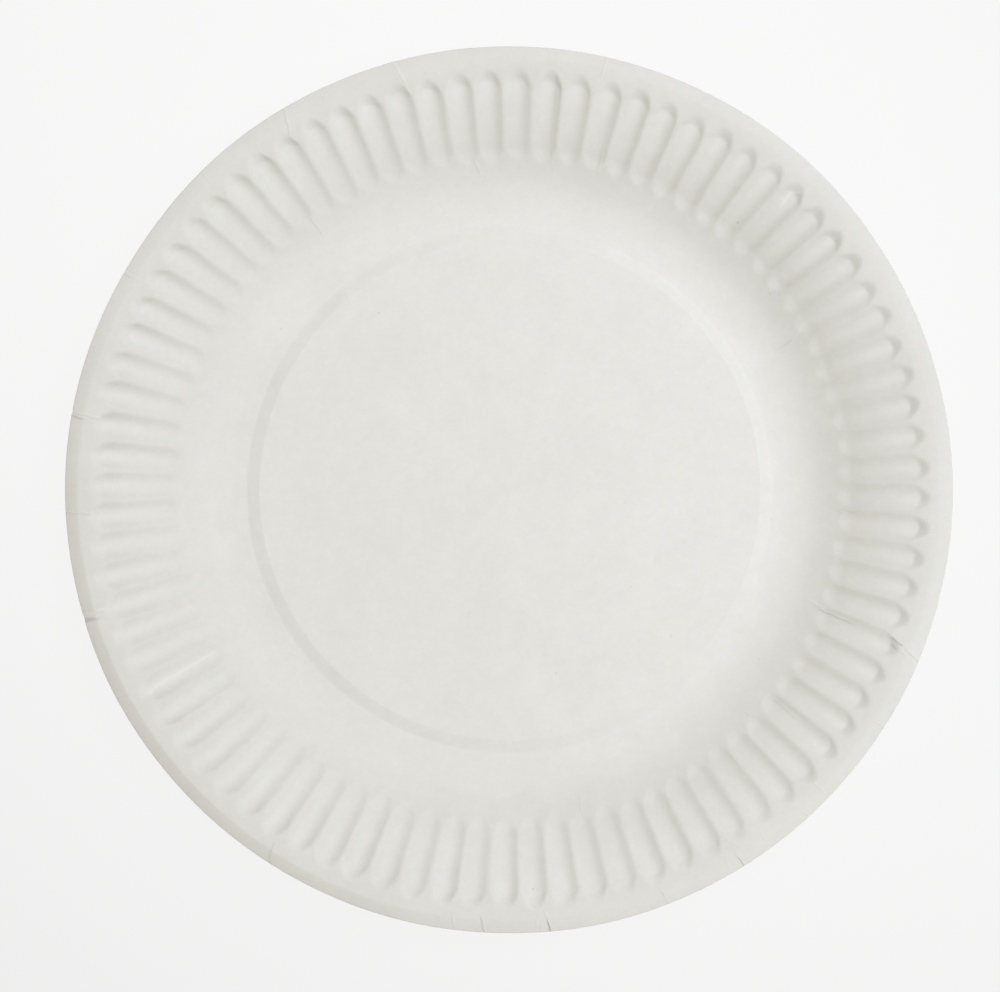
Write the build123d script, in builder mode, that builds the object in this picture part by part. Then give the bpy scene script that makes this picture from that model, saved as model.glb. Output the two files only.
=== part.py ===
"""Round fluted paper plate, pressed from one sheet of board.

Frame: millimetres, +Z up, the origin on the table under the plate's centre.
The plate is one solid of even thickness: a raised centre panel, a sloping ring that
steps down to a narrow flat foot, a curved wall, a band of radial flutes pressed down
into the wall, a brim and an outer lip that turns down.
"""

import math
import os

from build123d import *

# ---- board -----------------------------------------------------------------
board = 0.45  # thickness of the pressed board

# ---- section of the upper face, from the centre outwards ---------------------
panel_r = 65.4  # flat centre panel
panel_lift = 0.66  # the panel stands this much above the foot
ring_slope = 11.5  # degrees, slope of the ring that steps down from the panel
ring_bend = 1.8  # radius of the two bends of that ring
foot_width = 0.9  # flat annulus that the plate rests on
wall_low_r, wall_low_slope = 28.0, 25.0  # hollow bend from the foot up to this slope
wall_mid_r, wall_mid_slope = 58.6, 34.0  # gentler hollow bend up to the steepest slope
wall_top_r, wall_top_slope = 61.8, 18.2  # rounded over to this slope through the flutes
brim_r, brim_slope = 31.4, 6.5  # rounded over towards the brim
crest_r, crest_slope = 4.5, 0.0  # crest of the brim, the highest line of the plate
fold_r, fold_slope = 4.5, -4.0  # fold line of the lip
lip_slope = -14.0  # the lip turns down to this slope at its cut edge
rim_r = 115.0  # radius of the cut edge

# ---- flutes ------------------------------------------------------------------
flutes = 84
flute_phase = 3.26  # degrees, angle of the first flute's middle
flute_bend = 7.1  # radius of a flute's hollow section
flute_in, flute_out = 89.1, 105.6  # middles of a flute's two rounded ends
flute_depth_in, flute_depth_mid, flute_depth_out = 0.56, 0.80, 1.00

os.makedirs("parts", exist_ok=True)


def face_line(depth):
    """Edges of the section at a depth below the upper face, from the axis to the rim."""
    level = panel_lift + board - depth
    edges = [Line((0, level), (panel_r, level))]

    def bend(radius, slope_from, slope_to):
        last = edges[-1]
        radius = radius + depth if slope_to > slope_from else radius - depth
        edges.append(JernArc(last @ 1, last % 1, radius, slope_to - slope_from))

    bend(ring_bend, 0, -ring_slope)
    drop = panel_lift - 2 * ring_bend * (1 - math.cos(math.radians(ring_slope)))
    start = edges[-1] @ 1
    run = drop / math.tan(math.radians(ring_slope))
    edges.append(Line(start, (start.X + run, start.Y - drop)))
    bend(ring_bend, -ring_slope, 0)
    start = edges[-1] @ 1
    edges.append(Line(start, (start.X + foot_width, start.Y)))
    bend(wall_low_r, 0, wall_low_slope)
    bend(wall_mid_r, wall_low_slope, wall_mid_slope)
    bend(wall_top_r, wall_mid_slope, wall_top_slope)
    bend(brim_r, wall_top_slope, brim_slope)
    bend(crest_r, brim_slope, crest_slope)
    bend(fold_r, crest_slope, fold_slope)
    sines = math.sin(math.radians(fold_slope)) - math.sin(math.radians(lip_slope))
    lip_run = rim_r - ((edges[-1] @ 1).X + depth * math.sin(math.radians(-fold_slope)))
    bend(lip_run / sines, fold_slope, lip_slope)
    return edges


def above_face(edges, radius, height):
    """Point at a height square above the upper face, at this radius, in the XZ plane."""
    for edge in edges:
        low, high = 0.0, 1.0
        if (edge @ low).X <= radius < (edge @ high).X:
            for _ in range(40):
                middle = (low + high) / 2
                low, high = (middle, high) if (edge @ middle).X < radius else (low, middle)
            at, along = edge @ low, edge % low
            return Vector(at.X - along.Y * height, 0, at.Y + along.X * height)
    raise ValueError(radius)


# ---- spine of one flute, through the middles of its two rounded ends ---------------
upper_face = face_line(0)
spine = ThreePointArc(
    above_face(upper_face, flute_in, flute_bend - flute_depth_in),
    above_face(upper_face, (flute_in + flute_out) / 2, flute_bend - flute_depth_mid),
    above_face(upper_face, flute_out, flute_bend - flute_depth_out),
)
inner_end = Plane(origin=spine @ 0, x_dir=(0, 1, 0), z_dir=-(spine % 0))
outer_end = Plane(origin=spine @ 1, x_dir=(0, 1, 0), z_dir=spine % 1)
spine_axis = Axis(spine.arc_center, (0, 1, 0))
spine_turn = math.degrees(spine.length / spine.radius)
sector_half = 5.0  # degrees, half of the sector that one flute is cut from
sector_plane = Plane.XZ.rotated((0, 0, -sector_half), ordering=Extrinsic.XYZ)

# the hollow of one flute, ending a little above the upper face
with BuildPart() as hollow:
    with BuildSketch(inner_end):
        Circle(flute_bend)
    revolve(axis=spine_axis, revolution_arc=spine_turn)
    with Locations(inner_end, outer_end):
        Sphere(flute_bend, arc_size1=0, arc_size2=90)
    with BuildSketch(sector_plane):
        with BuildLine():
            top = face_line(-0.3)
            bottom = face_line(1.15)
            Line(top[0] @ 0, bottom[0] @ 0)
            Line(top[-1] @ 1, bottom[-1] @ 1)
        make_face()
    revolve(axis=Axis.Z, revolution_arc=2 * sector_half, mode=Mode.INTERSECT)

# the bulge of one flute on the underside, starting inside the board
with BuildPart() as bulge:
    with BuildSketch(inner_end):
        Circle(flute_bend + board)
    revolve(axis=spine_axis, revolution_arc=spine_turn)
    with Locations(inner_end, outer_end):
        Sphere(flute_bend + board, arc_size1=0, arc_size2=90)
    with BuildSketch(sector_plane):
        with BuildLine():
            top = face_line(board / 2)
            bottom = face_line(board + 1.15)
            Line(top[0] @ 0, bottom[0] @ 0)
            Line(top[-1] @ 1, bottom[-1] @ 1)
        make_face()
    revolve(axis=Axis.Z, revolution_arc=2 * sector_half, mode=Mode.INTERSECT)

# ---- plate ---------------------------------------------------------------------
with BuildPart() as paper_plate:
    with BuildSketch(Plane.XZ):
        with BuildLine():
            upper = face_line(0)
            lower = face_line(board)
            Line(upper[0] @ 0, lower[0] @ 0)
            Line(upper[-1] @ 1, lower[-1] @ 1)
        make_face()
    revolve(axis=Axis.Z)
    with PolarLocations(0, flutes, start_angle=flute_phase):
        add(bulge.part)
    with PolarLocations(0, flutes, start_angle=flute_phase):
        add(hollow.part, mode=Mode.SUBTRACT)

paper_plate.part.label = "paper_plate"
export_step(paper_plate.part, "parts/paper_plate.step")

box = paper_plate.part.bounding_box()
print("box", box.min, box.max, "volume", paper_plate.part.volume)
print("solids", len(paper_plate.part.solids()), "faces", len(paper_plate.part.faces()))
print("upper section", [(round((e @ 1).X, 2), round((e @ 1).Y, 2)) for e in upper_face])
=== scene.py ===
"""Paper plate on a pale table, seen from straight above.

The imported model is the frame. One closed sheet of board, `plate`, stands for the CAD node:
the same section and flutes, with the small unevenness, pleats and creases of pressed paper.
Lengths in the shape code are millimetres; the mesh is made in metres.
"""

import math

import bpy
import numpy as np
from mathutils import Matrix, Vector


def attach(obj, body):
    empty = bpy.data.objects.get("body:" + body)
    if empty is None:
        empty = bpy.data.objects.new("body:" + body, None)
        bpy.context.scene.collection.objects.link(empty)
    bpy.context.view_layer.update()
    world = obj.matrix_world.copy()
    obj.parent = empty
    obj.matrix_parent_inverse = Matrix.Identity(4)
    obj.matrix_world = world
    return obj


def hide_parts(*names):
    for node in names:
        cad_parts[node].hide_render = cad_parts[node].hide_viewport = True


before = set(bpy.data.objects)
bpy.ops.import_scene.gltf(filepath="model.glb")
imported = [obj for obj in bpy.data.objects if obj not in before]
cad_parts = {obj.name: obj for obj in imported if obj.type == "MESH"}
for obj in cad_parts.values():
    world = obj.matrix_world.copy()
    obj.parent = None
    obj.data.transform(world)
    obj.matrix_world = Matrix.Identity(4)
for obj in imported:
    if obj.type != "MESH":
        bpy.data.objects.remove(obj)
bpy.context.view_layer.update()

scene = bpy.context.scene
rng = np.random.default_rng(817)

# =============================================================================
# Section of the upper face
# =============================================================================
BOARD = 0.45
PANEL_R, PANEL_LIFT = 65.4, 0.66
RING_SLOPE, RING_BEND = 11.5, 1.8
FOOT_WIDTH = 0.9
BENDS = [(28.0, 25.0), (58.6, 34.0), (61.8, 18.2), (31.4, 6.5), (4.5, -4.0)]
LIP_SLOPE = -14.0
RIM_R = 115.0


def section():
    """Dense line (r, z) of the upper face, from the centre to the rim."""
    pts = [(0.0, PANEL_LIFT + BOARD), (PANEL_R, PANEL_LIFT + BOARD)]

    def arc(radius, slope_from, slope_to, steps=28):
        x, z = pts[-1]
        a0, a1 = math.radians(slope_from), math.radians(slope_to)
        side = 1 if a1 > a0 else -1
        for k in range(1, steps + 1):
            a = a0 + (a1 - a0) * k / steps
            pts.append((x + side * radius * (math.sin(a) - math.sin(a0)), z + side * radius * (math.cos(a0) - math.cos(a))))

    arc(RING_BEND, 0, -RING_SLOPE)
    drop = PANEL_LIFT - 2 * RING_BEND * (1 - math.cos(math.radians(RING_SLOPE)))
    x, z = pts[-1]
    pts.append((x + drop / math.tan(math.radians(RING_SLOPE)), z - drop))
    arc(RING_BEND, -RING_SLOPE, 0)
    x, z = pts[-1]
    pts.append((x + FOOT_WIDTH, z))
    slope = 0.0
    for radius, to in BENDS:
        arc(radius, slope, to)
        slope = to
    sines = math.sin(math.radians(slope)) - math.sin(math.radians(LIP_SLOPE))
    arc((RIM_R - pts[-1][0]) / sines, slope, LIP_SLOPE)
    return np.array(pts)


SECTION = section()
SEC_R, SEC_Z = SECTION[:, 0], SECTION[:, 1]
SEC_S = np.r_[0.0, np.cumsum(np.hypot(np.diff(SEC_R), np.diff(SEC_Z)))]
RIM_Z = float(SEC_Z[-1])


def smooth(x, low, high):
    t = np.clip((x - low) / (high - low), 0.0, 1.0)
    return t * t * (3 - 2 * t)


def turn(theta, middle):
    """Signed angle from middle to theta, degrees, -180 to 180."""
    return (theta - middle + 180.0) % 360.0 - 180.0


# =============================================================================
# Flutes, each pressed a little differently
# =============================================================================
FLUTES = 84
PITCH = 360.0 / FLUTES
PHASE = 3.26
TIP_IN, TIP_OUT = 85.6, 109.5
END_IN, END_OUT = 4.2, 3.2
ARCH_IN, ARCH_OUT = 1.6, 3.7
DEPTH_IN, DEPTH_OUT = 0.56, 1.00
RIDGE = 0.05
POWER = 2.5
ROUND = 1.25


def spread(size, limit):
    return np.clip(rng.normal(0.0, size, FLUTES), -limit, limit)


flute_depth = 1.0 + spread(0.09, 0.2)
flute_side = spread(0.14, 0.28)
flute_lean = spread(0.12, 0.25)
flute_tip_in = spread(0.40, 0.8)
flute_tip_out = spread(0.22, 0.45)
flute_wave = spread(0.06, 0.12)
flute_start = rng.uniform(0, 2 * math.pi, FLUTES)
flute_run = rng.uniform(1.2, 2.0, FLUTES)


# the flutes do not stand quite evenly round the plate: drift in degrees, every 12 degrees
DRIFT = [-0.12, -0.02, 0.14, 0.10, -0.12, -0.29, -0.41, -0.39, -0.34, -0.22, -0.29, -0.18, -0.04, 0.09, 0.26,
         0.38, 0.42, 0.18, 0.02, 0.02, 0.19, 0.25, 0.27, 0.34, 0.38, 0.35, 0.27, 0.19, 0.07, -0.02]


# and some stretches are pressed deeper than others
PRESSED = [0.92, 0.82, 0.96, 1.20, 1.22, 1.25, 1.29, 1.21, 1.12, 1.08, 1.00, 1.08, 1.27, 1.33, 1.45,
           1.43, 1.25, 1.05, 1.27, 1.38, 1.16, 1.18, 1.12, 1.03, 1.02, 0.98, 1.02, 1.01, 1.00, 0.98]


def settled(theta):
    """Angle of the even pattern that has come to lie at theta."""
    return theta - np.interp(np.asarray(theta) % 360.0, np.arange(31) * 12.0, DRIFT + DRIFT[:1])


def flute_cut(r, theta):
    """Depth of the flutes below the smooth section: broad hollows with steep flanks and round ends."""
    s = np.interp(r, SEC_R, SEC_S)
    theta = settled(theta)
    j = np.floor((theta - PHASE) / PITCH + 0.5).astype(int)
    v = np.radians(turn(theta, PHASE + j * PITCH)) * r
    j = j % FLUTES
    v = v - flute_side[j] - flute_lean[j] * (r - 98.0) / 10.0 - flute_wave[j] * np.sin(r / flute_run[j] + flute_start[j])
    s_in = np.interp(TIP_IN, SEC_R, SEC_S) + flute_tip_in[j]
    s_out = np.interp(TIP_OUT, SEC_R, SEC_S) + flute_tip_out[j]
    right = smooth(np.abs(turn(theta, 358.0)), 65.0, 20.0)
    end_out = END_OUT - 0.2 * right
    a, b = s_in + END_IN, s_out - end_out
    depth = (DEPTH_IN + (DEPTH_OUT - DEPTH_IN) * np.clip((s - a) / (b - a), 0, 1)) * flute_depth[j]
    depth = depth * np.interp(theta % 360.0, np.arange(31) * 12.0, PRESSED + PRESSED[:1])
    # on the right the inner halves are pressed deeper, on the left the outer ones
    depth = depth * (1.0 + (0.02 + 0.13 * np.cos(np.radians(theta - 345.0))) * (1.0 - 2.0 * np.clip((s - a) / (b - a), 0, 1)))
    half_width = math.pi * r / FLUTES - RIDGE
    across = np.minimum(np.abs(v / half_width), 1.2)
    # the outer ends are pressed deeper on the left, and on the right along their middles only
    depth = depth * (1.0 + right * smooth(s, b - 7.5, b + 0.8) * (0.42 * np.exp(-((across / 0.50) ** 2)) - 0.10)
                     + 0.22 * smooth(np.abs(turn(theta, 125.0)), 70.0, 25.0) * smooth(s, b - 4.0, b + 0.5))
    top = np.maximum(s - b + ARCH_OUT * across**2, 0.0) / end_out
    foot = np.maximum(a - s + ARCH_IN * across**2, 0.0) / END_IN
    out = (across ** (POWER * ROUND) + top ** (1.3 * ROUND) + foot ** (1.5 * ROUND)) ** (1 / ROUND)
    return depth * np.maximum(1.0 - out, 0.0) ** 1.5


# =============================================================================
# Pleats and creases: paths (degrees, mm), ridge height, half width, painted fold shadow, crest lightening (scuff and
# painted highlight), step
# =============================================================================
CREASES = []


def crease(path, ridge, width=0.28, shade=0.05, crease_light_and_shade=0.45, step=0.0, dip=0.0, side=1):
    path = sorted(path, key=lambda p: p[1])
    CREASES.append({"t": [p[0] for p in path], "r": [p[1] for p in path], "ridge": ridge, "width": width,
                    "shade": shade, "crease_light_and_shade": crease_light_and_shade, "step": step, "dip": dip, "side": side})


# pleats that gather the brim and the lip
crease([(10.4, 115.6), (10.4, 110.2)], 0.03)
crease([(77.1, 115.6), (77.4, 108.6)], 0.05, shade=0.12, step=0.03)
crease([(84.9, 115.6), (84.1, 110.6)], 0.04)
crease([(90.4, 115.6), (89.5, 109.8)], 0.03)
crease([(105.2, 115.6), (104.1, 107.6)], 0.09, width=0.26, shade=0.10, crease_light_and_shade=1.3, step=0.03)
crease([(120.4, 115.2), (121.8, 106.8)], 0.06, width=0.27, shade=0.24, crease_light_and_shade=0.7)
crease([(126.0, 112.5), (126.2, 107.2)], 0.03)
crease([(134.0, 115.6), (134.1, 110.4)], 0.04, shade=0.08)
crease([(138.0, 113.6), (138.2, 108.8)], 0.03)
crease([(150.4, 112.4), (150.2, 106.5)], 0.06, crease_light_and_shade=0.8, step=0.03)
crease([(150.45, 115.6), (150.55, 111.2)], 0.06, width=0.36, shade=0.20, crease_light_and_shade=0.3, step=0.05, dip=0.10)
crease([(160.8, 115.6), (160.9, 112.6)], 0.03, shade=0.08)
crease([(169.85, 115.6), (169.9, 112.4), (170.1, 108.0), (170.4, 106.2)], 0.10, width=0.30, shade=0.05, crease_light_and_shade=1.3, step=-0.05, dip=0.18)
crease([(170.2, 115.8), (170.45, 110.6)], 0.03, width=0.42, shade=0.38, crease_light_and_shade=0.0)
crease([(182.85, 115.6), (183.35, 107.2)], 0.06, width=0.26, shade=0.17, crease_light_and_shade=0.6, step=0.03)
crease([(196.6, 116.2), (197.2, 110.4)], 0.10, width=0.75, shade=0.38, crease_light_and_shade=0.5, step=0.07, dip=0.18)
crease([(197.05, 116.0), (197.35, 111.6)], 0.06, width=0.42, shade=0.40, crease_light_and_shade=0.4)
crease([(196.3, 115.8), (196.5, 111.6), (196.1, 107.8)], 0.07, width=0.26, shade=0.0, crease_light_and_shade=1.5)
crease([(196.4, 112.0), (196.8, 107.4)], 0.05, width=0.26, shade=0.08, crease_light_and_shade=0.7)
crease([(197.0, 112.2), (197.2, 109.2)], 0.05, width=0.26, shade=0.08, crease_light_and_shade=0.5)
crease([(207.9, 115.6), (208.0, 112.4)], 0.04, shade=0.12)
crease([(213.0, 115.6), (212.8, 112.0)], 0.04, shade=0.10)
crease([(217.1, 115.6), (217.0, 112.6)], 0.03, shade=0.08)
crease([(223.2, 115.6), (223.5, 110.8)], 0.07, shade=0.14, step=0.04)
crease([(231.2, 115.6), (231.3, 112.4)], 0.04, shade=0.10)
crease([(237.4, 115.6), (236.4, 111.3), (236.3, 108.4)], 0.07, width=0.28, shade=0.30, crease_light_and_shade=0.6, step=0.04)
crease([(241.5, 115.6), (241.5, 113.0)], 0.03, shade=0.08)
crease([(254.4, 115.6), (254.4, 113.0)], 0.04, shade=0.12)
crease([(256.5, 114.4), (256.7, 110.2)], 0.03)
crease([(263.0, 115.6), (262.4, 110.0)], 0.05, shade=0.15, side=-1)
crease([(267.1, 116.2), (266.2, 109.8)], 0.07, width=0.27, shade=0.42, crease_light_and_shade=0.6, side=-1)
crease([(275.6, 116.4), (275.2, 110.8)], 0.08, width=0.27, shade=0.85, crease_light_and_shade=0.8, side=-1)
crease([(275.1, 112.0), (274.8, 108.8)], 0.04, width=0.24, shade=0.20, crease_light_and_shade=0.6, side=-1)
crease([(274.2, 114.6), (274.35, 111.6)], 0.04, width=0.24, shade=0.16, crease_light_and_shade=0.6, side=-1)
crease([(273.7, 114.2), (273.8, 111.2)], 0.03, width=0.24, shade=0.12, crease_light_and_shade=0.5, side=-1)
crease([(273.0, 110.2), (273.0, 107.6)], 0.04, width=0.26, shade=0.03, crease_light_and_shade=0.8, side=-1)
crease([(283.0, 114.2), (283.2, 110.2)], 0.03, side=-1)
crease([(291.2, 115.6), (290.8, 109.8)], 0.06, shade=0.08, step=0.04, side=-1)
crease([(302.28, 116.4), (302.0, 111.0)], 0.07, width=0.25, shade=0.58, crease_light_and_shade=0.7, side=-1)
crease([(302.0, 111.8), (302.3, 109.4)], 0.04, width=0.24, shade=0.14, crease_light_and_shade=0.5, side=-1)
crease([(300.2, 113.6), (300.7, 109.6)], 0.03, width=0.24, shade=0.08, crease_light_and_shade=0.5, side=-1)
crease([(306.3, 112.6), (306.3, 109.8)], 0.03, side=-1)
crease([(312.7, 115.6), (312.3, 112.0)], 0.05, shade=0.08, side=-1)
crease([(316.2, 114.2), (316.3, 107.6)], 0.05, crease_light_and_shade=0.7, side=-1)
crease([(327.8, 115.6), (327.6, 111.4)], 0.05, shade=0.12, side=-1)
# creases that run on down the ridges between the flutes
crease([(337.2, 115.4), (337.65, 113.3), (338.6, 109.0)], 0.06, width=0.24, crease_light_and_shade=0.8, shade=0.22, side=-1)
crease([(337.3, 111.6), (337.85, 108.4)], 0.05, width=0.24, crease_light_and_shade=0.9, shade=0.20, side=-1)
crease([(338.45, 110.2), (339.2, 105.2)], 0.05, width=0.40, shade=0.52, crease_light_and_shade=0.0, side=-1)
crease([(337.85, 109.2), (338.2, 105.8)], 0.05, width=0.52, shade=0.30, crease_light_and_shade=0.0, side=-1)
crease([(337.8, 110.6), (338.45, 107.2)], 0.06, width=0.26, shade=0.0, crease_light_and_shade=1.1, side=-1)
crease([(339.15, 88.2), (339.4, 86.0), (340.0, 82.2)], 0.07, width=0.26, shade=0.10, crease_light_and_shade=1.5, side=-1)
crease([(338.85, 96.5), (338.85, 93.0), (338.95, 88.0), (339.05, 85.2)], 0.06, width=0.30, shade=0.27, crease_light_and_shade=0.5, side=-1)
crease([(83.2, 108.8), (83.1, 100.0), (82.9, 91.0), (82.6, 86.0), (81.8, 82.8)], 0.025, width=0.28, shade=0.05, crease_light_and_shade=0.3)
crease([(321.5, 96.6), (321.8, 87.0)], 0.05, width=0.32, shade=0.07, crease_light_and_shade=0.6, side=-1)
crease([(356.0, 91.0), (356.35, 86.6), (356.5, 84.6)], 0.06, width=0.26, shade=0.24, crease_light_and_shade=0.6)
crease([(29.2, 87.4), (28.2, 84.4), (27.8, 82.8)], 0.07, width=0.34, shade=0.0, crease_light_and_shade=1.5)
crease([(27.85, 84.0), (27.4, 78.4)], 0.06, width=0.28, shade=0.21, crease_light_and_shade=0.4)
crease([(96.2, 86.8), (94.8, 82.0)], 0.09, width=0.28, shade=0.15, crease_light_and_shade=1.5)
crease([(126.2, 88.2), (126.1, 81.6)], 0.06, width=0.28, shade=0.12)
crease([(74.6, 92.2), (74.3, 84.4)], 0.04, width=0.30, shade=0.06)
crease([(282.6, 86.4), (283.2, 81.0)], 0.04, width=0.28, shade=0.05, side=-1)
crease([(316.6, 86.2), (316.9, 84.6)], 0.05, width=0.26, shade=0.14, side=-1)
crease([(63.2, 84.8), (63.6, 81.6)], 0.04, width=0.30, shade=0.0, crease_light_and_shade=0.8)
crease([(64.9, 104.4), (64.3, 98.4)], 0.05, width=0.40, shade=0.0, crease_light_and_shade=0.6)
# raised lines along a few hollows
crease([(209.4, 107.6), (209.1, 104.0), (209.0, 95.0), (208.8, 86.4)], 0.12, width=0.62, shade=0.0, crease_light_and_shade=1.3)
crease([(44.5, 108.5), (45.7, 107.7), (46.4, 106.0), (46.4, 103.6), (45.8, 100.2)], 0.17, width=0.58, shade=0.06, crease_light_and_shade=1.7, side=-1)
crease([(202.6, 105.0), (202.7, 90.0)], 0.05, width=0.45, shade=0.0, crease_light_and_shade=0.3)
crease([(214.2, 105.6), (214.3, 91.0)], 0.05, width=0.45, shade=0.0, crease_light_and_shade=0.3)
crease([(354.2, 110.8), (353.6, 107.6)], 0.08, width=0.32, shade=0.14)


def crease_shape(r, theta):
    """(height, painted fold shadow, crest lightening that is partly scuff and partly painted highlight, pull of the
    outline) of all the creases.
    """
    high, dark, pale, pull = (np.zeros_like(r) for _ in range(4))
    for c in CREASES:
        near = (np.abs(turn(theta, float(np.mean(c["t"])))) < 6.0) & (r > c["r"][0] - 1.5) & (r < c["r"][-1] + 1.5)
        if not near.any():
            continue
        rn, tn = r[near], theta[near]
        middle = np.interp(rn, c["r"], c["t"]) + 0.05 * np.sin(rn * 1.9 + c["t"][0])
        v = np.radians(turn(tn, middle)) * rn
        length = c["r"][-1] - c["r"][0]
        fade = smooth(rn, c["r"][0], c["r"][0] + min(2.2, 0.6 * length)) * (1 - smooth(rn, c["r"][-1] - min(0.9, 0.3 * length), c["r"][-1]))
        w = c["width"]
        line = np.exp(-((v / w) ** 2))
        fold = np.exp(-(((v - 0.75 * w * c["side"]) / (0.62 * w)) ** 2))
        high[near] += fade * (c["ridge"] * line - 0.30 * c["ridge"] * fold + c["step"] * np.tanh(v / w) * np.exp(-((v / 2.6) ** 2)))
        # dark: painted shadow along the fold beside each crest; pale: the crest lighter, partly scuffed and partly a
        # painted highlight
        dark[near] = np.maximum(dark[near], fade * c["shade"] * fold)
        pale[near] = np.maximum(pale[near], fade * c["crease_light_and_shade"] * np.exp(-(((v + 0.1 * w * c["side"]) / (0.6 * w)) ** 2)))
        pull[near] += fade * c["dip"] * np.exp(-((v / (1.6 * w)) ** 2))
    return high, dark, pale, pull


# =============================================================================
# Slow unevenness of the pressed sheet
# =============================================================================
wave_parts = [(n, float(rng.uniform(0, 2 * math.pi)), a) for n, a in ((2, 0.10), (3, 0.08), (5, 0.05), (7, 0.04), (11, 0.03))]
rim_parts = [(n, float(rng.uniform(0, 2 * math.pi)), a) for n, a in ((4, 0.05), (6, 0.05), (9, 0.04), (14, 0.03))]
dents = []
for _ in range(70):
    dents.append((rng.uniform(0, 360), rng.uniform(76, 113), rng.uniform(2.0, 5.0), rng.uniform(-0.035, 0.035)))
for _ in range(520):
    dents.append((rng.uniform(0, 360), rng.uniform(84, 113), rng.uniform(1.1, 2.4), rng.uniform(-0.022, 0.022)))
for _ in range(16):
    dents.append((rng.uniform(0, 360), 58 * math.sqrt(rng.uniform(0, 1)), rng.uniform(7.0, 14.0), rng.uniform(-0.02, 0.02)))


LIP_DROOP = [-0.16, -0.12, 0.02, 0.02, -0.07, 0.015, 0.17, 0.20, 0.10, -0.07, -0.05, -0.03]


def slow_shape(r, theta):
    a = np.radians(theta)
    z = np.zeros_like(r)
    for n, phase, size in wave_parts:
        z += size * np.cos(n * a + phase) * smooth(r, 88.0, 113.0)
    for t0, r0, size, high in dents:
        near = np.abs(r - r0) < 2.6 * size
        t = np.radians(turn(theta[near], t0))
        d2 = r[near] ** 2 + r0**2 - 2 * r[near] * r0 * np.cos(t)
        z[near] += high * np.exp(-d2 / size**2)
    z = z * (1 - smooth(r, 60.0, 65.0) * (1 - smooth(r, 71.0, 76.0)))
    # the lip lies flatter on the right and is folded down more sharply on the left
    droop = np.interp(theta % 360.0, np.arange(-15.0, 376.0, 30.0), LIP_DROOP[-1:] + LIP_DROOP + LIP_DROOP[:1])
    past = r - 111.85
    return z - droop * 0.5 * (past + np.sqrt(past * past + 0.03))


def outline(theta):
    """How far the rim lies outside or inside its circle."""
    a = np.radians(theta)
    d = 0.40 * np.exp(-((turn(theta, 203.0) / 24.0) ** 2)) - 0.34 * np.exp(-((turn(theta, 150.0) / 13.0) ** 2))
    for n, phase, size in rim_parts:
        d = d + size * np.cos(n * a + phase)
    return d


def sheet(r, theta, fine=True):
    """(x, y, z, painted fold shadow, crest lightening: scuff and painted highlight) of points of the upper face."""
    z = np.interp(r, SEC_R, SEC_Z) - flute_cut(r, theta) + slow_shape(r, theta)
    dark, pale = np.zeros_like(r), np.zeros_like(r)
    out = r + outline(theta) * smooth(r, 100.0, 114.0)
    if fine:
        high, dark, pale, pull = crease_shape(r, theta)
        z = z + high
        out = out - pull * smooth(r, 112.5, 115.0)
    a = np.radians(theta)
    return out * np.cos(a), out * np.sin(a), z, dark, pale


# =============================================================================
# Mesh: rings of points, denser where the sheet bends or is creased
# =============================================================================
def columns(base, lowest, highest):
    """Angles of one ring: the base angles, and a fine set round each crease of this zone."""
    cols = [np.asarray(base, float) % 360.0]
    for c in CREASES:
        if c["r"][0] > highest or c["r"][-1] < lowest:
            continue
        inside = [t for t, r in zip(c["t"], c["r"]) if lowest - 1 <= r <= highest + 1]
        inside += [float(np.interp(x, c["r"], c["t"])) for x in (lowest, highest) if c["r"][0] <= x <= c["r"][-1]]
        middle_r = 0.5 * (max(lowest, c["r"][0]) + min(highest, c["r"][-1]))
        margin = math.degrees(2.4 * c["width"] / middle_r) + 0.05
        step = math.degrees(0.52 * c["width"] / middle_r)
        low, high = min(inside) - margin, max(inside) + margin
        fine = np.arange(low, high + 0.5 * step, step) % 360.0
        keep = np.ones(len(cols[0]), bool)
        span = turn(cols[0], 0.5 * (low + high))
        keep &= np.abs(span) > 0.5 * (high - low) + 0.25 * step
        cols[0] = cols[0][keep]
        cols.append(fine)
    merged = np.sort(np.concatenate(cols))
    gap = 0.018
    kept = [merged[0]]
    for t in merged[1:]:
        if t - kept[-1] > gap:
            kept.append(t)
    return np.array(kept)


def per_flute(marks):
    even_marks = np.concatenate([(PHASE + k * PITCH + np.asarray(marks) * PITCH / 2) for k in range(FLUTES)])
    return even_marks + (even_marks - settled(even_marks))


half = [0.0, 0.22, 0.42, 0.58, 0.72, 0.86]
FLUTE_MARKS = sorted({-m for m in half[1:]} | set(half) | {1.0})
even = lambda n: np.arange(n) * 360.0 / n

COLS_CORE = even(84)
COLS_PANEL = even(168)
COLS_RING = even(336)
COLS_WALL = columns(even(336), 78.0, 86.0)
COLS_TIPS = columns(per_flute(FLUTE_MARKS), 86.0, 92.0)
COLS_FLUTE = columns(per_flute(FLUTE_MARKS), 92.0, 107.0)
COLS_ENDS = columns(per_flute(FLUTE_MARKS), 106.0, 110.2)
COLS_RIM = columns(even(504), 110.2, 115.2)

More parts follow.
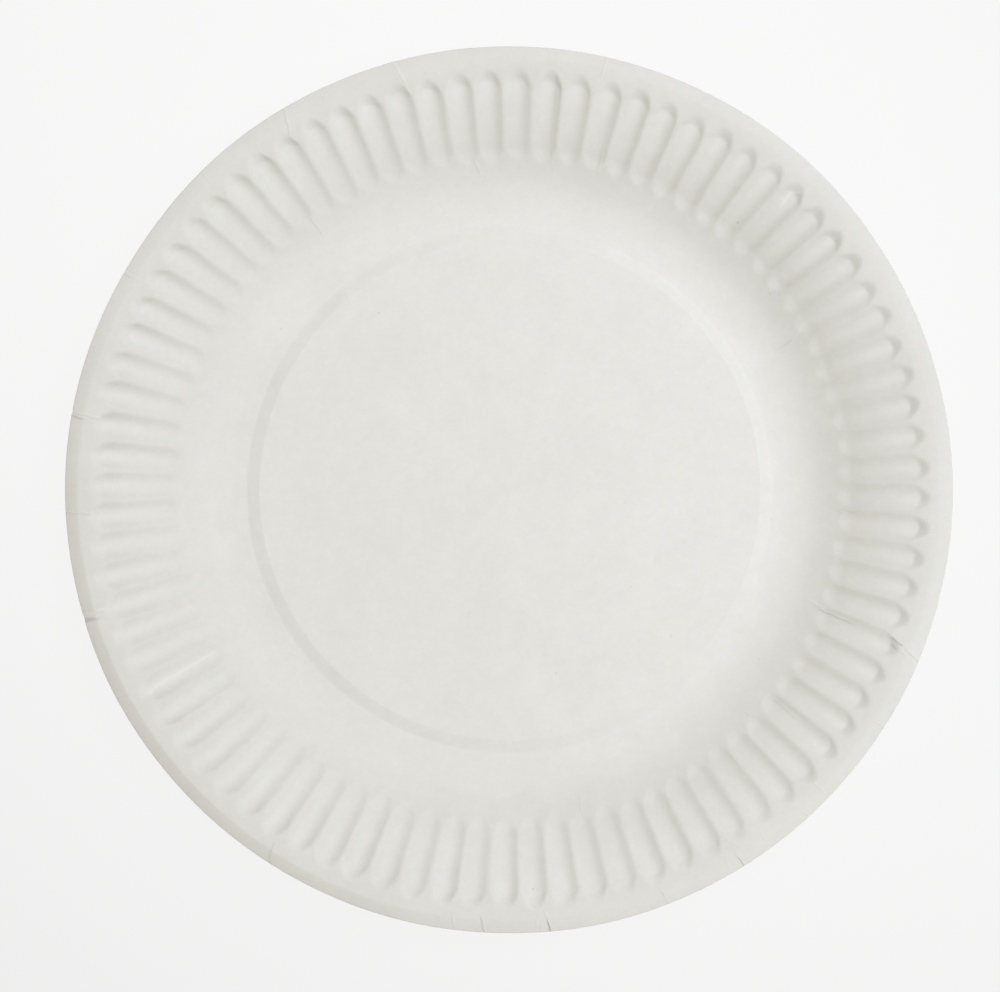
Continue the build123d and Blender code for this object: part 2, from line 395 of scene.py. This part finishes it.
upper = []
upper += [(r, COLS_CORE) for r in (6.0, 13.0, 21.0, 29.0)]
upper += [(r, COLS_PANEL) for r in (37.0, 45.0, 53.0)]
upper += [(r, COLS_RING) for r in (59.0, 62.5, 64.4, 65.1, 65.4, 65.48, 65.56, 65.64, 65.72, 65.8, 66.6, 67.6, 68.5, 68.62, 68.7, 68.78, 68.86, 68.94, 69.02)]
upper += [(r, COLS_RING) for r in (69.45, 69.9, 70.5, 71.2, 72.0, 73.0, 74.2, 75.5, 76.8)]
upper += [(r, COLS_WALL) for r in np.linspace(77.9, 85.5, 11)]
upper += [(r, COLS_TIPS) for r in np.arange(86.1, 91.0, 0.48)]
upper += [(r, COLS_FLUTE) for r in np.linspace(91.9, 104.4, 12)]
upper += [(r, COLS_FLUTE) for r in (104.8, 105.1, 105.4, 105.7)]
upper += [(r, COLS_ENDS) for r in (106.0, 106.35, 106.75, 107.2, 107.65, 108.1, 108.55, 109.0, 109.45, 109.9)]
upper += [(r, COLS_RIM) for r in (110.4, 110.9, 111.3, 111.55, 111.75, 111.88, 112.0, 112.12, 112.3, 112.6, 113.2, 114.0, 114.7, 114.94)]

LOW_FLUTE = per_flute([-0.82, -0.45, 0.0, 0.45, 0.82, 1.0])
lower = []
lower += [(r, COLS_CORE) for r in (8.0, 20.0, 32.0)]
lower += [(r, COLS_PANEL) for r in (46.0, 56.0)]
lower += [(r, even(252)) for r in (62.0, 65.0, 65.4, 65.6, 65.8, 67.2, 68.6, 68.8, 69.0, 69.9, 71.0, 72.6, 74.6, 77.0, 80.0, 83.0, 85.6)]
lower += [(r, LOW_FLUTE) for r in (86.6, 87.4, 88.4, 89.6, 91.2, 93.8, 97.0, 100.2, 103.2, 105.0, 105.8, 106.8, 107.8, 108.8, 109.8)]
lower += [(r, even(504)) for r in (110.8, 111.5, 112.0, 112.4, 113.2)]
lower += [(r, COLS_RIM) for r in (114.2, 114.9)]

points, shade, crest, edge_mark, faces = [], [], [], [], []


def ring(x, y, z, dark, pale, cut):
    first = sum(len(p) for p in points)
    points.append(np.c_[x, y, z])
    shade.append(dark)
    crest.append(pale)
    edge_mark.append(np.full(len(x), cut))
    return first


def stitch(a, a_cols, b, b_cols, flip):
    """Faces between two rings; b is the outer one. Equal rings give quads, others triangles."""
    n, m = len(a_cols), len(b_cols)
    if n == m and np.allclose(a_cols, b_cols):
        for k in range(n):
            q = (a + k, b + k, b + (k + 1) % m, a + (k + 1) % n)
            faces.append(q[::-1] if flip else q)
        return
    i = j = 0
    start = int(np.argmin(np.abs(turn(b_cols, a_cols[0]))))
    turned = turn(np.roll(b_cols, -start), a_cols[0])
    b_run = np.unwrap(np.r_[turned, turned[0] + 360.0], period=360.0)
    a_run = np.unwrap(np.r_[a_cols, a_cols[0] + 360.0] - a_cols[0], period=360.0)
    while i < n or j < m:
        step_b = j < m and (i >= n or b_run[j + 1] + b_run[j] <= a_run[i + 1] + a_run[i])
        if step_b:
            t = (a + i % n, b + (start + j) % m, b + (start + j + 1) % m)
            j += 1
        else:
            t = (a + i % n, b + (start + j) % m, a + (i + 1) % n)
            i += 1
        faces.append(t[::-1] if flip else t)


def underside(r, theta):
    """Points square below the upper face by the board's thickness."""
    h = 0.05
    z0 = sheet(r, theta, False)[2]
    zr = (sheet(r + h, theta, False)[2] - sheet(np.maximum(r - h, 0.0), theta, False)[2]) / (2 * h)
    w = np.degrees(h / np.maximum(r, 1.0))
    zt = (sheet(r, theta + w, False)[2] - sheet(r, theta - w, False)[2]) / (2 * h)
    x, y = sheet(r, theta, False)[:2]
    return x, y, z0 - BOARD * np.sqrt(1 + zr**2 + zt**2)


# upper face
points.append(np.array([[0.0, 0.0, float(sheet(np.array([0.0]), np.array([0.0]), False)[2][0])]]))
shade.append(np.zeros(1))
crest.append(np.zeros(1))
edge_mark.append(np.zeros(1))
last = None
for r, cols in upper:
    x, y, z, dark, pale = sheet(np.full(len(cols), float(r)), cols)
    first = ring(x, y, z, dark, pale, 0.0)
    if last is None:
        faces += [(0, first + k, first + (k + 1) % len(cols)) for k in range(len(cols))]
    else:
        stitch(last[0], last[1], first, cols, False)
    last = (first, cols)

# cut edge, with its two corners worn round
x, y, z, dark, pale = sheet(np.full(len(COLS_RIM), RIM_R), COLS_RIM)
a = np.radians(COLS_RIM)
thin = BOARD / math.cos(math.radians(LIP_SLOPE))
lean = math.tan(math.radians(-LIP_SLOPE)) * 0.5
for inward, down in ((0.012, 0.05), (0.0, 0.14), (0.02, 0.32), (0.05, 0.43)):
    back = inward + lean * down * 0.4
    first = ring(x - back * np.cos(a), y - back * np.sin(a), z - down * thin / 0.45, dark, pale, 1.0)
    stitch(last[0], last[1], first, COLS_RIM, False)
    last = (first, COLS_RIM)

# underside, from the rim back to the centre
for r, cols in reversed(lower):
    x, y, z = underside(np.full(len(cols), float(r)), cols)
    if cols is COLS_RIM:
        high, _, _, pull = crease_shape(np.full(len(cols), float(r)), cols)
        z = z + high
        x = x - pull * np.cos(np.radians(cols))
        y = y - pull * np.sin(np.radians(cols))
    first = ring(x, y, z, np.zeros(len(cols)), np.zeros(len(cols)), 0.0)
    stitch(first, cols, last[0], last[1], True)
    last = (first, cols)
centre = ring(np.zeros(1), np.zeros(1), np.array([PANEL_LIFT]), np.zeros(1), np.zeros(1), 0.0)
faces += [(centre, last[0] + (k + 1) % len(last[1]), last[0] + k) for k in range(len(last[1]))]

verts = np.concatenate(points)
fold_shade = np.concatenate(shade)
crest_scuff_and_highlight = np.concatenate(crest)
cut_mark = np.concatenate(edge_mark)
verts[:, 2] = np.maximum(verts[:, 2], 0.0)

mesh = bpy.data.meshes.new("plate")
mesh.from_pydata((verts / 1000.0).tolist(), [], faces)
mesh.validate()
mesh.update()
mesh.polygons.foreach_set("use_smooth", [True] * len(mesh.polygons))
plate = bpy.data.objects.new("plate", mesh)
scene.collection.objects.link(plate)
print("plate triangles", sum(len(f) - 2 for f in faces), "columns", len(COLS_TIPS), len(COLS_FLUTE), len(COLS_ENDS), len(COLS_RIM))

# painted tone of the board: painted shade from the foot of the wall to the rim, painted shade on the ridges and painted
# light along the hollows
radius = np.hypot(verts[:, 0], verts[:, 1])
angle = np.degrees(np.arctan2(verts[:, 1], verts[:, 0])) % 360.0
# zone: painted shade, darker than the panel from the foot of the wall out to the rim
zone = np.interp(radius, [65.3, 66.2, 68.3, 69.4, 70.2, 71.2, 74.0, 78.0, 82.0, 86.0, 90.0, 94.0, 99.0, 104.0, 109.0, 111.0, 112.6, 115.0],
                 [0.0, 0.010, 0.010, -0.002, 0.001, 0.006, 0.015, 0.028, 0.054, 0.074, 0.086, 0.079, 0.078, 0.074, 0.086, 0.078, 0.066, 0.074])
# painted light: the panel and the foot of the wall are a little paler towards the top
painted_top_light = np.interp(radius, [0.0, 26.0, 52.0, 62.0, 68.0, 72.0, 76.0, 80.0, 84.0, 88.0, 92.0],
                  [0.0, 0.003, 0.003, 0.005, 0.006, 0.010, 0.013, 0.010, 0.006, 0.004, 0.0])
zone = zone - painted_top_light * np.sin(np.radians(angle))
# painted light: the brim is a little lighter at the upper left and at the bottom
brim = smooth(radius, 107.5, 110.0)
zone = zone - brim * (0.022 * smooth(np.abs(turn(angle, 132.0)), 60.0, 15.0) + 0.012 * smooth(np.abs(turn(angle, 285.0)), 35.0, 10.0))
# painted shade on the ridges between the flutes and painted light along their hollows
painted_flute_stripe = np.interp(radius, [84.3, 86.0, 89.5, 97.2, 104.2, 105.6, 107.2], [0.0, 0.010, 0.014, 0.021, 0.033, 0.026, 0.0])
turned = np.radians((settled(angle) - PHASE) / PITCH * 360.0)
# painted shade at the outer ends of the flutes on the right, where their end walls face away from the light
rise = (flute_cut(radius - 0.15, angle) - flute_cut(radius + 0.15, angle)) / 0.30
painted_hook_shade = smooth(rise, 0.10, 0.42) * smooth(radius, 104.5, 106.0) * smooth(np.abs(turn(angle, 358.0)), 65.0, 20.0)
tone = (1.0 - zone) * (1.0 + painted_flute_stripe * (np.cos(turned) + 0.25 * np.cos(2 * turned))) * (1.0 + 0.05 * crest_scuff_and_highlight)
tone = tone * (1.0 - 0.070 * painted_hook_shade)
TONE_HIGH, TONE_LOW = 1.06, 0.82
# the tone stored below carries the painted shade and painted light above, and fold the painted shadow along the creases
painted_shade_tone = np.clip((TONE_HIGH - tone) / (TONE_HIGH - TONE_LOW), 0.0, 1.0)
for name, values in (("painted_shade_tone", painted_shade_tone), ("fold", fold_shade), ("cut", cut_mark)):
    mesh.attributes.new(name, "FLOAT", "POINT").data.foreach_set("value", values.astype(np.float32))

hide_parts("paper_plate")
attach(plate, "root")

# =============================================================================
# Paper
# =============================================================================
paper = bpy.data.materials.new("uncoated paperboard")
paper.use_nodes = True
tree = paper.node_tree
tree.nodes.clear()


def node(kind, **settings):
    made = tree.nodes.new(kind)
    for key, value in settings.items():
        setattr(made, key, value)
    return made


def link(a, b):
    tree.links.new(a, b)


def value_of(name):
    return node("ShaderNodeAttribute", attribute_name=name).outputs["Fac"]


def math_node(operation, a, b=None, clamp=False):
    made = node("ShaderNodeMath", operation=operation, use_clamp=clamp)
    for socket, given in zip(made.inputs, (a, b)):
        if given is None:
            continue
        if isinstance(given, (int, float)):
            socket.default_value = given
        else:
            link(given, socket)
    return made.outputs[0]


def noise(vector, scale, detail, rough, distortion=0.0):
    made = node("ShaderNodeTexNoise")
    made.inputs["Scale"].default_value = scale
    made.inputs["Detail"].default_value = detail
    made.inputs["Roughness"].default_value = rough
    made.inputs["Distortion"].default_value = distortion
    link(vector, made.inputs["Vector"])
    return made.outputs["Fac"]


def remap(value, low, high, to_low, to_high, kind="LINEAR"):
    made = node("ShaderNodeMapRange", interpolation_type=kind)
    made.inputs["From Min"].default_value = low
    made.inputs["From Max"].default_value = high
    made.inputs["To Min"].default_value = to_low
    made.inputs["To Max"].default_value = to_high
    link(value, made.inputs["Value"])
    return made.outputs["Result"]


def stretched(turn_z, scale):
    made = node("ShaderNodeMapping")
    made.inputs["Rotation"].default_value = (0.0, 0.0, turn_z)
    made.inputs["Scale"].default_value = scale
    link(coords, made.inputs["Vector"])
    return made.outputs["Vector"]


coords = node("ShaderNodeTexCoord").outputs["Object"]

# cloudy formation of the sheet, from finger-wide clouds down to single flocs of fibre
clouds = noise(coords, 38.0, 7.0, 0.92)
flocs = noise(coords, 520.0, 3.0, 0.75)
# single fibres lying in three directions
fibre_sets = []
for turn_z in (0.35, 1.45, 2.50):
    fibre_sets.append(noise(stretched(turn_z, (420.0, 3600.0, 900.0)), 1.0, 1.0, 0.6, 0.0))
fibres = math_node("MULTIPLY", math_node("ADD", math_node("ADD", fibre_sets[0], fibre_sets[1]), fibre_sets[2]), 1.0 / 3.0)

mottle = math_node("ADD", remap(clouds, 0.25, 0.75, -0.050, 0.050),
                   math_node("ADD", remap(flocs, 0.25, 0.75, -0.015, 0.015), remap(fibres, 0.3, 0.7, -0.007, 0.007)))

# small dark specks in the pulp, (x, y) in millimetres, radius, strength
SPECKS = [(-59.9, 42.2, 0.34, 0.20), (-34.3, 46.3, 0.34, 0.22), (9.4, 30.5, 0.28, 0.17), (31.8, -25.4, 0.30, 0.15),
          (-10.6, -32.3, 0.30, 0.13), (42.3, -38.3, 0.30, 0.17), (12.2, -48.0, 0.34, 0.15), (65.3, -44.3, 0.28, 0.14),
          (59.6, 69.6, 0.42, 0.30), (68.0, 51.2, 0.34, 0.22), (6.3, -103.6, 0.34, 0.24)]
speck = None
for x, y, size, strength in SPECKS:
    gap = node("ShaderNodeVectorMath", operation="DISTANCE")
    flat = node("ShaderNodeVectorMath", operation="MULTIPLY")
    flat.inputs[1].default_value = (1000.0, 1000.0, 0.0)
    link(coords, flat.inputs[0])
    link(flat.outputs[0], gap.inputs[0])
    gap.inputs[1].default_value = (x, y, 0.0)
    spot = remap(gap.outputs["Value"], size * 0.35, size * 1.25, strength, 0.0, "SMOOTHSTEP")
    speck = spot if speck is None else math_node("MAXIMUM", speck, spot)

# faint round mark near the middle of the panel
gap = node("ShaderNodeVectorMath", operation="DISTANCE")
flat = node("ShaderNodeVectorMath", operation="MULTIPLY")
flat.inputs[1].default_value = (1000.0, 1000.0, 0.0)
link(coords, flat.inputs[0])
link(flat.outputs[0], gap.inputs[0])
gap.inputs[1].default_value = (5.6, -6.6, 0.0)
mark = remap(math_node("ADD", gap.outputs["Value"], remap(flocs, 0.2, 0.8, -1.2, 1.2)), 4.4, 6.4, 0.010, 0.0, "SMOOTHSTEP")

PLAIN = (0.754, 0.742, 0.714)
# lit and shaded copies of the paper colour: the tone attribute mixes from the lighter one to the darker, a little
# yellower one, which carries the painted shade
tone_mix = node("ShaderNodeMix", data_type="RGBA", blend_type="MIX")
link(value_of("painted_shade_tone"), tone_mix.inputs["Factor"])
tone_mix.inputs["A"].default_value = (PLAIN[0] * TONE_HIGH, PLAIN[1] * TONE_HIGH, PLAIN[2] * TONE_HIGH * 1.002, 1.0)
tone_mix.inputs["B"].default_value = (PLAIN[0] * TONE_LOW, PLAIN[1] * TONE_LOW * 1.001, PLAIN[2] * TONE_LOW * 0.975, 1.0)
toned = tone_mix.outputs["Result"]

# painted shadow along the crease folds, broken by the grain, and the real dark specks of the pulp both mix towards this
# dark colour
fold_mix = node("ShaderNodeMix", data_type="RGBA", blend_type="MIX")
crease_light_and_shade = math_node("MULTIPLY", value_of("fold"), remap(flocs, 0.35, 0.6, 0.75, 1.0))
link(math_node("MAXIMUM", crease_light_and_shade, speck), fold_mix.inputs["Factor"])
link(toned, fold_mix.inputs["A"])
fold_mix.inputs["B"].default_value = (0.270, 0.262, 0.235, 1.0)

edge_mix = node("ShaderNodeMix", data_type="RGBA", blend_type="MIX")
link(math_node("MULTIPLY", value_of("cut"), remap(fibres, 0.3, 0.7, 0.25, 0.75)), edge_mix.inputs["Factor"])
link(fold_mix.outputs["Result"], edge_mix.inputs["A"])
edge_mix.inputs["B"].default_value = (0.640, 0.628, 0.575, 1.0)

gain = math_node("SUBTRACT", math_node("ADD", mottle, 1.0), mark)
scaled = node("ShaderNodeVectorMath", operation="SCALE")
link(edge_mix.outputs["Result"], scaled.inputs[0])
link(gain, scaled.inputs["Scale"])

shader = node("ShaderNodeBsdfPrincipled")
link(scaled.outputs[0], shader.inputs["Base Color"])
shader.inputs["Specular IOR Level"].default_value = 0.25
link(math_node("ADD", remap(clouds, 0.25, 0.75, 0.70, 0.82), remap(fibres, 0.3, 0.7, -0.05, 0.05)), shader.inputs["Roughness"])

tooth = noise(coords, 1500.0, 2.0, 0.6, 0.0)
bump = node("ShaderNodeBump")
bump.inputs["Strength"].default_value = 0.35
bump.inputs["Distance"].default_value = 0.00004
link(tooth, bump.inputs["Height"])
link(bump.outputs["Normal"], shader.inputs["Normal"])
link(shader.outputs[0], node("ShaderNodeOutputMaterial").inputs["Surface"])
mesh.materials.append(paper)

# =============================================================================
# Table: pale, lit from below as well, so that shadows stay faint
# =============================================================================
ticks = sorted(set(np.round(np.linspace(-0.30, 0.30, 25), 4)) | {-4.0, -1.2, -0.6, 0.6, 1.2, 4.0})
floor_verts = [(x, y, 0.0) for y in ticks for x in ticks]
n = len(ticks)
floor_faces = [(j * n + i, j * n + i + 1, (j + 1) * n + i + 1, (j + 1) * n + i) for j in range(n - 1) for i in range(n - 1)]
floor_mesh = bpy.data.meshes.new("table")
floor_mesh.from_pydata(floor_verts, [], floor_faces)
floor_mesh.update()
fx = np.array([v[0] for v in floor_verts]) * 10.0
fy = np.array([v[1] for v in floor_verts]) * 10.0
far = np.maximum(np.hypot(fx, fy) / 2.0, 1.0)
fx, fy = fx / far, fy / far
# painted light fall-off: the table glows brighter towards the upper right and dimmer towards the lower left, away from
# the key light
glow = 0.9374 + 0.0088 * fx + 0.0184 * fy - 0.0092 * fx**2 - 0.0109 * fy**2 - 0.0056 * fx * fy
floor_mesh.attributes.new("glow", "FLOAT", "POINT").data.foreach_set("value", glow.astype(np.float32))
table = bpy.data.objects.new("table", floor_mesh)
scene.collection.objects.link(table)

# the share of its light that the table gets from above; under the plate, where it is shaded, that share is larger
FLOOR_SHARE, SHADED_SHARE = 0.022, 0.55
table_mat = bpy.data.materials.new("pale table")
table_mat.use_nodes = True
tree = table_mat.node_tree
tree.nodes.clear()
out_from_middle = node("ShaderNodeVectorMath", operation="LENGTH")
link(node("ShaderNodeTexCoord").outputs["Object"], out_from_middle.inputs[0])
share = remap(out_from_middle.outputs["Value"], 0.090, 0.114, SHADED_SHARE, FLOOR_SHARE, "SMOOTHSTEP")
body = node("ShaderNodeBsdfDiffuse")
link(share, body.inputs["Color"])
lamp = node("ShaderNodeEmission")
lamp.inputs["Color"].default_value = (1.002, 0.9995, 0.999, 1.0)
link(math_node("SUBTRACT", value_of("glow"), share), lamp.inputs["Strength"])
both = node("ShaderNodeAddShader")
link(body.outputs[0], both.inputs[0])
link(lamp.outputs[0], both.inputs[1])
link(both.outputs[0], node("ShaderNodeOutputMaterial").inputs["Surface"])
floor_mesh.materials.append(table_mat)

# =============================================================================
# Light
# =============================================================================
def soft_light(name, azimuth, elevation, distance, size, watts, colour):
    data = bpy.data.lights.new(name, "AREA")
    data.shape = "SQUARE"
    data.size = size
    data.energy = watts
    data.color = colour
    lamp_object = bpy.data.objects.new(name, data)
    scene.collection.objects.link(lamp_object)
    a, e = math.radians(azimuth), math.radians(elevation)
    way = Vector((math.cos(a) * math.cos(e), math.sin(a) * math.cos(e), math.sin(e)))
    lamp_object.location = way * distance
    lamp_object.rotation_mode = "QUATERNION"
    lamp_object.rotation_quaternion = (-way).to_track_quat("-Z", "Y")


soft_light("key", 18.0, 69.0, 0.98, 0.52, 7.97, (0.928, 0.987, 1.120))

world = bpy.data.worlds.new("studio")
scene.world = world
world.use_nodes = True
tree = world.node_tree
tree.nodes.clear()
sky = node("ShaderNodeTexCoord").outputs["Generated"]
split = node("ShaderNodeSeparateXYZ")
link(sky, split.inputs[0])
ramp = node("ShaderNodeValToRGB")
ramp.color_ramp.interpolation = "EASE"
ramp.color_ramp.elements[0].position = 0.08
ramp.color_ramp.elements[0].color = (0.86, 0.86, 0.85, 1.0)
ramp.color_ramp.elements[1].position = 0.22
ramp.color_ramp.elements[1].color = (0.348, 0.309, 0.205, 1.0)
link(split.outputs["Z"], ramp.inputs["Fac"])
background = node("ShaderNodeBackground")
link(ramp.outputs["Color"], background.inputs["Color"])
link(background.outputs[0], node("ShaderNodeOutputWorld").inputs["Surface"])

# =============================================================================
# Camera: straight above, the rim 443.6 px in radius in a frame of 1000 x 992
# =============================================================================
scene.view_settings.view_transform = "Standard"
scene.view_settings.look = "None"
scene.view_settings.exposure = 0.0
scene.view_settings.gamma = 1.0

camera_data = bpy.data.cameras.new("camera")
camera = bpy.data.objects.new("camera", camera_data)
scene.collection.objects.link(camera)
scene.camera = camera
distance = 1.5 - RIM_Z / 1000.0
camera_data.sensor_fit = "HORIZONTAL"
camera_data.sensor_width = 36.0
camera_data.lens = 36.0 * distance / (1000.0 * RIM_R / 443.6 / 1000.0)
tilt = math.radians(1.0)
back = Vector((math.sin(tilt), 0.0, math.cos(tilt)))
camera.location = Vector((0.0, 0.0, RIM_Z / 1000.0)) + back * distance
right = Vector((0.0, 1.0, 0.0)).cross(back).normalized()
camera.rotation_mode = "QUATERNION"
camera.rotation_quaternion = Matrix((right, back.cross(right), back)).transposed().to_quaternion()
camera_data.shift_x = -(508.6 - 500.0) / 1000.0
camera_data.shift_y = -(496.0 - 489.9) / 1000.0
camera_data.clip_end = 30.0
